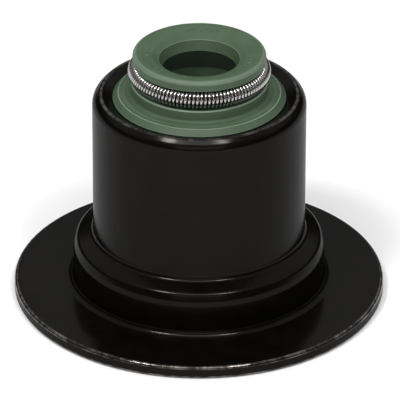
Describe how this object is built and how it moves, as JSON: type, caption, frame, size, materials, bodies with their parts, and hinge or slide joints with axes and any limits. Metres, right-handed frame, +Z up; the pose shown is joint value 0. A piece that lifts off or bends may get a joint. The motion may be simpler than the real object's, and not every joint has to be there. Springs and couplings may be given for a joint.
{
  "type": "valve stem seal",
  "caption": "Valve stem seal: black drawn steel shell with a wide spring-seat flange, green rubber lip seal and a garter spring.",
  "frame": {"origin": "centre of the flange's underside, on the valve stem's axis", "axes": "+Z up along the valve stem, from the flange to the lip"},
  "size_m": [0.028, 0.028, 0.0199],
  "materials": {
    "black_steel": "smooth black coating, glossy",
    "green_rubber": "moulded, satin",
    "spring_steel": "bright drawn wire"
  },
  "bodies": {
    "root": {"steel_shell": "black_steel", "rubber_seal": "green_rubber", "garter_spring": "spring_steel"}
  },
  "joints": []
}
